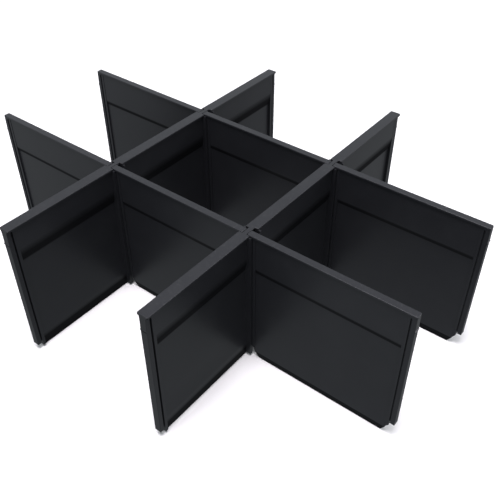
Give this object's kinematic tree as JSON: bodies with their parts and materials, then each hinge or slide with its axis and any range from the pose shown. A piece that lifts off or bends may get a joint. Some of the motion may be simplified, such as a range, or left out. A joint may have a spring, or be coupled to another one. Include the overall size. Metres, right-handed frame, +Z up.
{
  "type": "divider insert",
  "caption": "Interlocking divider insert of flat upright panels that slot together into a grid of rectangular compartments.",
  "frame": {"origin": "centre of the middle compartment, on the plane the panels stand on", "axes": "+Z up; +Y along the two long panels; +X along the rows of short panels, towards the right-hand row end"},
  "size_m": [0.5088, 0.401, 0.155],
  "materials": {
    "long_panel": "satin moulded black plastic",
    "short_panel": "satin moulded black plastic"
  },
  "bodies": {
    "long_left": {"long_left": "long_panel"},
    "long_right": {"long_right": "long_panel"},
    "short_near_left": {"short_near_left": "short_panel"},
    "short_near_mid": {"short_near_mid": "short_panel"},
    "short_near_right": {"short_near_right": "short_panel"},
    "short_far_left": {"short_far_left": "short_panel"},
    "short_far_mid": {"short_far_mid": "short_panel"},
    "short_far_right": {"short_far_right": "short_panel"}
  },
  "joints": [
    {"name": "long_right_lift", "type": "slide", "parent": "long_left", "child": "long_right", "axis": [0, 0, 1], "range_m": [0, 0.163]},
    {"name": "short_near_left_lift", "type": "slide", "parent": "long_left", "child": "short_near_left", "axis": [0, 0, 1], "range_m": [0, 0.163]},
    {"name": "short_far_left_lift", "type": "slide", "parent": "long_left", "child": "short_far_left", "axis": [0, 0, 1], "range_m": [0, 0.163]},
    {"name": "short_near_mid_lift", "type": "slide", "parent": "long_right", "child": "short_near_mid", "axis": [0, 0, 1], "range_m": [0, 0.163]},
    {"name": "short_far_mid_lift", "type": "slide", "parent": "long_right", "child": "short_far_mid", "axis": [0, 0, 1], "range_m": [0, 0.163]},
    {"name": "short_near_right_lift", "type": "slide", "parent": "long_right", "child": "short_near_right", "axis": [0, 0, 1], "range_m": [0, 0.163]},
    {"name": "short_far_right_lift", "type": "slide", "parent": "long_right", "child": "short_far_right", "axis": [0, 0, 1], "range_m": [0, 0.163]}
  ]
}
